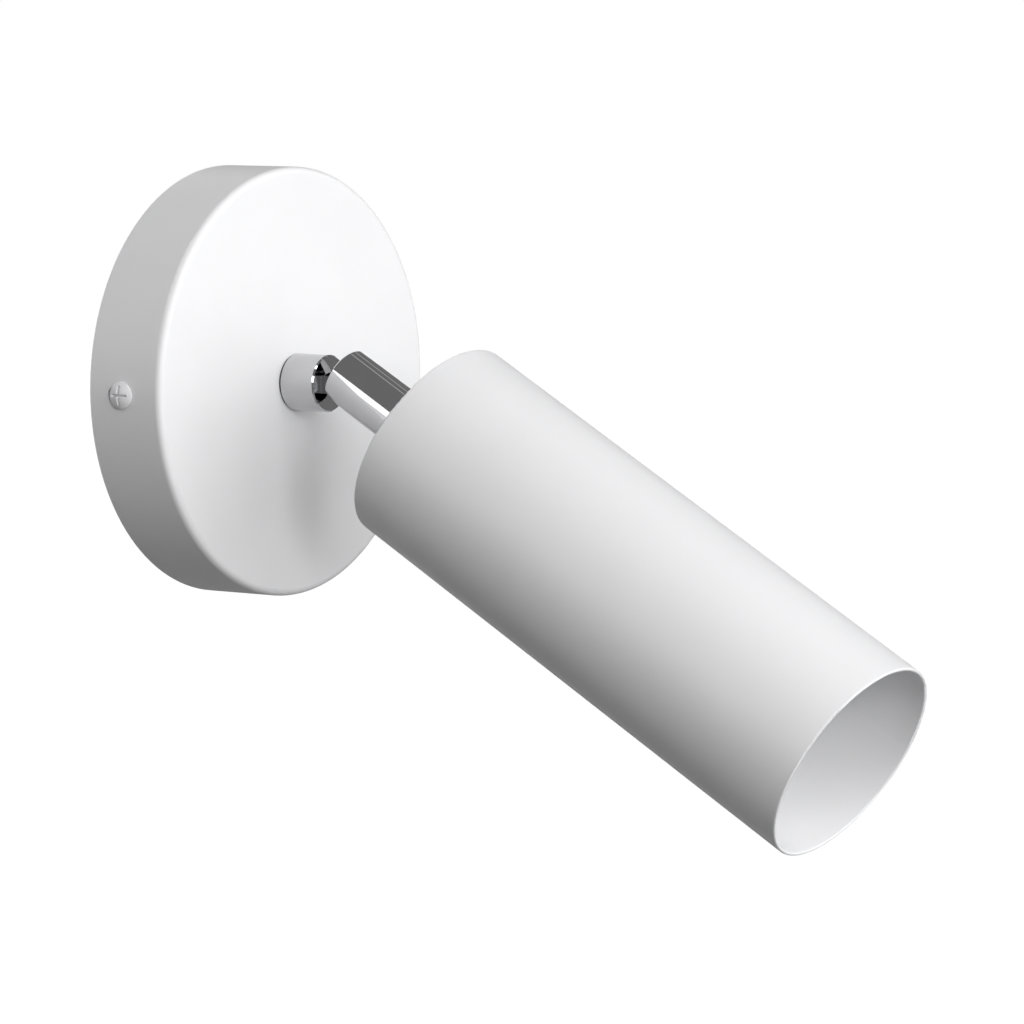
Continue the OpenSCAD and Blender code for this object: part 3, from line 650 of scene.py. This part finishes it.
# Ring terminal: a flat ring, a neck and a barrel that is curled round the lead's end
RING_R = 4.5 * MM
RING_BORE_R = 2.05 * MM
RING_T = 0.8 * MM
NECK_W = 2.4 * MM
BARREL_R = 1.45 * MM
BARREL_L = 4.2 * MM
BARREL_SIDES = 40
# How far the barrel starts below the lead's end, and its play round the lead
BARREL_BELOW = 0.6 * MM
BARREL_PLAY = 0.03 * MM
RING_EDGE = 0.1 * MM
# The neck's way from the ring into the barrel: height over the ring's centre and lift, in mm
NECK_WAY = ((3.4, 0), (5.2, 0), (6.2, 0.25), (6.9, 0.5))


def chamfered(inner, outer, height, edge):
    """The profile of a ring with chamfered edges outside and in its bore."""
    return [(inner, edge), (inner + edge, 0), (outer - edge, 0), (outer, edge),
            (outer, height - edge), (outer - edge, height), (inner + edge, height),
            (inner, height - edge)]


def barrel_profile(inner, outer, height, edge):
    """The profile of a ring with chamfered outer edges and a plain bore."""
    return [(inner, 0), (outer - edge, 0), (outer, edge), (outer, height - edge),
            (outer - edge, height), (inner, height)]


def make_ring_terminal():
    low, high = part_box("earth_washer")
    place = placed(Vector(((low.x + high.x) / 2, high.y, 0)), OUT)
    flat = turned(chamfered(RING_BORE_R, RING_R, RING_T, RING_EDGE), place, loop=True)
    section = [(-NECK_W / 2, 0), (NECK_W / 2, 0), (NECK_W / 2, RING_T), (-NECK_W / 2, RING_T)]
    neck = []
    for up, lift in NECK_WAY:
        neck.append([(x, up * MM, z + lift * MM) for x, z in section])
    profile = barrel_profile(LEAD_R + BARREL_PLAY, BARREL_R, BARREL_L, RING_EDGE)
    barrel_place = placed(EARTH_END - Vector((0, 0, BARREL_BELOW)), Vector((0, 0, 1)))
    barrel = turned(profile, barrel_place, BARREL_SIDES, loop=True)
    parts = [flat, skin(neck, place), barrel]
    piece("ring_terminal", parts, "brass", "wall_base", ["earth_washer"])


# Terminal block: a moulded body with slots between its poles, screw towers and wire ways
POLES = 3
BLOCK_T = 9 * MM
BLOCK_EDGE = 0.6 * MM
BLOCK_CORNER = 1.2 * MM
TOWER_R = 3.5 * MM
TOWER_TAPER = 0.2 * MM
TOWER_H = 4 * MM
TOWER_UP = 4.3 * MM
TOWER_BORE_R = 1.75 * MM
TOWER_LIP = 0.3 * MM
WAY_R = 2.76 * MM
WAY_MOUTH_R = 3.2 * MM
WAY_MOUTH_L = 0.8 * MM
POLE_SLOT_W = 1.3 * MM
POLE_SLOT_L = 4.6 * MM
# A little under half of the width, so that two corners don't meet
POLE_SLOT_CORNER = POLE_SLOT_W / 2.2
FIXING_R = 1.6 * MM
BLOCK_SIDES = 48
BORE_SIDES = 40
BLOCK_CREASE = 28
# How far a cut runs past the faces
CUT_PAST = 1 * MM


def tower(spot):
    """A tapered tower with a chamfered rim, for a clamp screw."""
    top, rim = BLOCK_T + TOWER_H, TOWER_R - TOWER_TAPER
    profile = [(TOWER_R, BLOCK_EDGE), (TOWER_R, BLOCK_T), (rim, top - TOWER_LIP), (rim - TOWER_LIP, top)]
    return turned(profile, spot, BLOCK_SIDES)


def tower_bore(spot, start):
    """The screw's way into a tower, from a depth to past the flared mouth."""
    top = BLOCK_T + TOWER_H
    profile = [(TOWER_BORE_R, start), (TOWER_BORE_R, top - TOWER_LIP),
               (TOWER_BORE_R + TOWER_LIP + CUT_PAST, top + CUT_PAST)]
    return turned(profile, spot, BORE_SIDES)


def wire_way(spot, length):
    """A bore through the block's height, with a funnel at both ends."""
    end = length + 2 * CUT_PAST
    profile = [(WAY_MOUTH_R, 0), (WAY_MOUTH_R, CUT_PAST), (WAY_R, CUT_PAST + WAY_MOUTH_L),
               (WAY_R, end - CUT_PAST - WAY_MOUTH_L), (WAY_MOUTH_R, end - CUT_PAST), (WAY_MOUTH_R, end)]
    return turned(profile, spot, BLOCK_SIDES)


def between_poles(spot, half_up):
    """The fixing bore between two poles, and the slot at each end."""
    cuts = [turned([(FIXING_R, -CUT_PAST), (FIXING_R, BLOCK_T + CUT_PAST)], spot, BORE_SIDES)]
    for end in (-1, 1):
        away = end * (half_up - POLE_SLOT_L / 2 + CUT_PAST / 2)
        cuts.append(slab(POLE_SLOT_W / 2, (POLE_SLOT_L + CUT_PAST) / 2, -CUT_PAST, BLOCK_T + CUT_PAST,
                         POLE_SLOT_CORNER, 0, spot @ Matrix.Translation((0, away, 0))))
    return cuts


def make_block():
    low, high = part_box("terminal_block")
    middle = (low + high) / 2
    place = placed(Vector((middle.x, high.y, middle.z)), OUT)
    half_x, half_up = (high.x - low.x) / 2, (high.z - low.z) / 2
    pitch = 2 * half_x / POLES
    sleeves_low, sleeves_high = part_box("terminal_sleeves")
    way_out = high.y - (sleeves_low.y + sleeves_high.y) / 2
    added = [slab(half_x, half_up, 0, BLOCK_T, BLOCK_CORNER, BLOCK_EDGE, place)]
    removed = []
    for pole in range(POLES):
        x = (pole - (POLES - 1) / 2) * pitch
        for up in (-TOWER_UP, TOWER_UP):
            spot = place @ Matrix.Translation((x, up, 0))
            added.append(tower(spot))
            removed.append(tower_bore(spot, way_out))
        way = placed(place @ Vector((x, -half_up - CUT_PAST, way_out)), Vector((0, 0, 1)))
        removed.append(wire_way(way, 2 * half_up))
    for side in (-1, 1):
        removed += between_poles(place @ Matrix.Translation((side * pitch / 2, 0, 0)), half_up)
    body = carved(added, removed)
    piece("block_body", [body], "block_plastic", "wall_base", ["terminal_block"], BLOCK_CREASE)


# Lamp: board with six light chips, and an optic with a collimator over each chip
CHIPS = 6
CHIP_RING_R = 9 * MM
CHIP_W = 3 * MM
CHIP_T = 0.7 * MM
BOARD_T = 1.6 * MM
COLLIMATOR_L = 4.6 * MM
COLLIMATOR_BACK_R = 2.0 * MM
COLLIMATOR_FRONT_R = 4.4 * MM
COLLIMATOR_STEPS = 8
COLLIMATOR_SIDES = 40
LAMP_SIDES = 96
BOARD_EDGE = 0.15 * MM
# The levels of a chip's body as shares of its width and height, and the body's share of the chip
CHIP_LEVELS = ((1, 0), (1, 0.8), (0.94, 1))
CHIP_BODY = 0.9
# The phosphor starts at this share of the chip's height, inside the body
DOT_START = 0.88
DOT_BASE_R = 1.1 * MM
DOT_TOP_R = 1.05 * MM
DOT_FLAT_R = 0.4 * MM
DOT_SIDES = 32
OPTIC_CROWN = 1.2 * MM
OPTIC_EDGE = 0.2 * MM
OPTIC_BACK_R = 0.3 * MM
OPTIC_STEPS = 24


def around(place, count, radius):
    """Places evenly round an axis, each with its x axis pointing outwards."""
    for i in range(count):
        spin = Matrix.Rotation(2 * math.pi * i / count, 4, "Z")
        yield place @ spin @ Matrix.Translation((radius, 0, 0))


def node_radius(node):
    """The radius of a round CAD node on the shade's axis, from its width."""
    low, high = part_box(node)
    return (high.x - low.x) / 2


def chip(spot):
    """A square body with its top drawn in."""
    rows = []
    for grow, z in CHIP_LEVELS:
        half = CHIP_W / 2 * grow
        corners = ((-half, -half), (half, -half), (half, half), (-half, half))
        rows.append([(x, y, z * CHIP_T * CHIP_BODY) for x, y in corners])
    return skin(rows, spot)


def make_board():
    start = reach("lamp_board", HINGE, HEAD_AXIS)[0]
    radius = node_radius("lamp_board")
    place = on_head(start)
    spots = list(around(place @ Matrix.Translation((0, 0, BOARD_T)), CHIPS, CHIP_RING_R))
    rim = radius - BOARD_EDGE
    profile = [(rim, 0), (radius, BOARD_EDGE), (radius, BOARD_T - BOARD_EDGE), (rim, BOARD_T)]
    parts = [turned(profile, place, LAMP_SIDES)] + [chip(spot) for spot in spots]
    piece("lamp_led_board", parts, "board", "lamp", ["lamp_board"])
    profile = [(DOT_BASE_R, DOT_START * CHIP_T), (DOT_TOP_R, CHIP_T), (DOT_FLAT_R, CHIP_T)]
    dots = piece("lamp_chips", [turned(profile, spot, DOT_SIDES) for spot in spots], "board", "lamp")
    paint(dots, plain("phosphor", (0.82, 0.68, 0.20), (0.4, 0.5), 0.2 * MM, 0.01 * MM))


def collimator(spot):
    """A clear cup that widens from a chip to the lens."""
    profile = []
    for i in range(COLLIMATOR_STEPS + 1):
        share = i / COLLIMATOR_STEPS
        bulge = math.sin(share * math.pi / 2)
        r = COLLIMATOR_BACK_R + (COLLIMATOR_FRONT_R - COLLIMATOR_BACK_R) * bulge
        profile.append((r, share * COLLIMATOR_L))
    return turned(profile, spot, COLLIMATOR_SIDES)


def make_optic():
    start, end = reach("lamp_lens", HINGE, HEAD_AXIS)
    radius = node_radius("lamp_lens")
    rings = [ring(OPTIC_BACK_R, 0, LAMP_SIDES), ring(radius - OPTIC_EDGE, 0, LAMP_SIDES),
             ring(radius, OPTIC_EDGE, LAMP_SIDES)]
    rings += domed(radius, end - start, OPTIC_CROWN, LAMP_SIDES, OPTIC_STEPS)
    spots = around(on_head(start - COLLIMATOR_L), CHIPS, CHIP_RING_R)
    parts = [skin(rings, on_head(start))] + [collimator(spot) for spot in spots]
    piece("lamp_optic", parts, "lens_glass", "lamp", ["lamp_lens"])


# The studio: a pale floor, soft lamps in front and behind, and cards for the chrome
FLOOR_DROP = 1.6
FLOOR_SIZE = 60
FLOOR_ROUGHNESS = 0.9
# How pale the floor is where it lights the object, and in sight
FLOOR_BOUNCE = 0.25
FLOOR_WHITE = 0.8
AMBIENT = 0.03
# Name, azimuth towards the left, elevation, distance and side in metres, watts, seen in the chrome
LAMPS = (
    ("front_left", 20, 22, 2, 1.23, 7.6, False),
    ("level_left", 38, 0, 2, 1.23, 6, False),
    ("level_middle", -5, 0, 2, 1.23, 6.3, False),
    ("level_right", -30, 0, 2, 1.23, 10.3, False),
    ("front_right", -20, 22, 2, 1.23, 9.2, False),
    ("high_left", 60, 45, 2, 1.23, 8.8, False),
    ("near_left", 35, 15, 1.54, 0.46, 5.6, True),
    ("near_high", 10, 50, 1.54, 0.46, 3.6, True),
    ("behind", 180, 15, 2, 0.5, 9, False),
    ("behind_left", 153, 17, 1.4, 0.8, 2.2, True),
    ("behind_right", -153, 20, 1.43, 0.8, 2.5, True),
)
# Cards in front, on both sides, above and on the floor; the front one reaches further to the left
CARDS_AWAY = 2.4
CARDS_LEFT = 4.8
CARDS_TOP = 1.2
WINDOW_SILL = 0.35
CARD_GAP = 0.02
STRIP_L = 2.4
# Each strip's distance to the right, and its width
NEAR_STRIP = (0.47, 0.1)
FAR_STRIP = (1.11, 0.16)
FLOOR_CARD_PLACE = (1.5, 0.6)
FLOOR_CARD_SIZE = (4.4, 5)
# The kinds of card, and how bright each is
CARD_SHINES = {"dark_card": 0.22, "strip": 0.55, "window": 2, "pale_card": 0.6}


def panel(name, place, target, width, height):
    """A flat panel that faces a target."""
    data = bpy.data.meshes.new(name)
    x, y = width / 2, height / 2
    data.from_pydata([(-x, -y, 0), (x, -y, 0), (x, y, 0), (-x, y, 0)], [], [(0, 1, 2, 3)])
    made = bpy.data.objects.new(name, data)
    place, target = Vector(place), Vector(target)
    turn = (target - place).to_track_quat("Z", "Y").to_matrix().to_4x4()
    made.matrix_world = Matrix.Translation(place) @ turn
    bpy.context.scene.collection.objects.link(made)
    return made


def emission(name, strength):
    """A material that is its own white light."""
    made = bpy.data.materials.new(name)
    made.use_nodes = True
    made.node_tree.nodes.clear()
    shader = made.node_tree.nodes.new("ShaderNodeEmission")
    shader.inputs["Color"].default_value = (1, 1, 1, 1)
    shader.inputs["Strength"].default_value = strength
    output = made.node_tree.nodes.new("ShaderNodeOutputMaterial")
    made.node_tree.links.new(shader.outputs[0], output.inputs["Surface"])
    return made


def reflected_only(card):
    """The card shows in reflections alone, and shades nothing."""
    card.visible_camera = False
    card.visible_diffuse = False
    card.visible_shadow = False
    card.visible_transmission = False
    card.visible_volume_scatter = False


def lamp(middle, name, azimuth, elevation, distance, side, power, shown):
    """A square soft lamp that faces the middle of the object."""
    data = bpy.data.lights.new(name, "AREA")
    data.shape = "SQUARE"
    data.size = side
    data.energy = power
    light = bpy.data.objects.new(name, data)
    lift = Matrix.Rotation(-math.radians(elevation), 3, "X")
    away = Matrix.Rotation(-math.radians(azimuth), 3, "Z") @ lift @ OUT
    light.location = middle + away * distance
    light.rotation_mode = "QUATERNION"
    light.rotation_quaternion = away.to_track_quat("Z", "Y")
    light.visible_glossy = shown
    bpy.context.scene.collection.objects.link(light)


def in_sight(tree):
    """1 for the camera's own rays and for those that metal or glass sends on, otherwise 0."""
    path = tree.nodes.new("ShaderNodeLightPath")
    seen = path.outputs["Is Camera Ray"]
    for kind in ("Is Glossy Ray", "Is Transmission Ray"):
        either = tree.nodes.new("ShaderNodeMath")
        either.operation = "MAXIMUM"
        tree.links.new(seen, either.inputs[0])
        tree.links.new(path.outputs[kind], either.inputs[1])
        seen = either.outputs[0]
    return seen


def make_world():
    """White behind the object and in its reflections, and a plain soft light on it."""
    world = bpy.data.worlds.new("studio")
    bpy.context.scene.world = world
    world.use_nodes = True
    tree = world.node_tree
    level = tree.nodes.new("ShaderNodeMapRange")
    level.inputs["To Min"].default_value = AMBIENT
    level.inputs["To Max"].default_value = 1
    tree.links.new(in_sight(tree), level.inputs["Value"])
    tree.links.new(level.outputs["Result"], tree.nodes["Background"].inputs["Strength"])
    tree.nodes["Background"].inputs["Color"].default_value = (1, 1, 1, 1)


def floor_material():
    """Matt, and white in sight, but dim to the light that it throws back onto the object."""
    made = bpy.data.materials.new("floor")
    made.use_nodes = True
    tree = made.node_tree
    shader = tree.nodes["Principled BSDF"]
    shader.inputs["Roughness"].default_value = FLOOR_ROUGHNESS
    shader.inputs["Specular IOR Level"].default_value = 0
    shader.inputs["Emission Color"].default_value = (1, 1, 1, 1)
    seen = in_sight(tree)
    bounce = tree.nodes.new("ShaderNodeMapRange")
    bounce.inputs["To Min"].default_value = FLOOR_BOUNCE
    bounce.inputs["To Max"].default_value = FLOOR_WHITE
    tree.links.new(seen, bounce.inputs["Value"])
    tree.links.new(bounce.outputs["Result"], shader.inputs["Base Color"])
    tree.links.new(seen, shader.inputs["Emission Strength"])
    return made


def card_rows(low):
    """Name, place, target, width, height and kind of each card, over a floor at this height."""
    far, tall, under = CARDS_AWAY, CARDS_TOP - low, CARDS_TOP - CARD_GAP
    level = CARDS_TOP - tall / 2
    front_x = (far - CARDS_LEFT) / 2
    window_z = (CARDS_TOP + WINDOW_SILL) / 2
    near_x, near_width = NEAR_STRIP
    far_x, far_width = FAR_STRIP
    x, y = FLOOR_CARD_PLACE
    return (
        ("ceiling_card", (0, 0, CARDS_TOP), (0, 0, 0), 2 * far, 2 * far, "dark_card"),
        ("front_card", (front_x, -far, level), (front_x, 0, level), far + CARDS_LEFT, tall, "dark_card"),
        ("right_card", (far, 0, level), (0, 0, level), 2 * far, tall, "dark_card"),
        ("near_strip", (near_x, 0, under), (near_x, 0, 0), near_width, STRIP_L, "strip"),
        ("far_strip", (far_x, 0, under), (far_x, 0, 0), far_width, STRIP_L, "strip"),
        ("window_card", (-far, far / 2, window_z), (0, far / 2, window_z), far, CARDS_TOP - WINDOW_SILL,
         "window"),
        ("floor_card", (x, y, low + CARD_GAP), (x, y, 0), *FLOOR_CARD_SIZE, "pale_card"),
    )


def make_studio():
    make_world()
    floor = panel("floor", (0, 0, cad_low.z - FLOOR_DROP), (0, 0, 10), FLOOR_SIZE, FLOOR_SIZE)
    floor.data.materials.append(floor_material())
    for row in LAMPS:
        lamp((cad_low + cad_high) / 2, *row)
    shines = {kind: emission(kind, strength) for kind, strength in CARD_SHINES.items()}
    for name, place, target, width, height, kind in card_rows(floor.location.z):
        card = panel(name, place, target, width, height)
        card.data.materials.append(shines[kind])
        reflected_only(card)


make_camera()
make_studio()
dress_nodes()
make_side_screws()
make_threaded_tubes()
make_leads()
make_ring_terminal()
make_block()
make_board()
make_optic()

bpy.context.scene.view_settings.view_transform = "Standard"
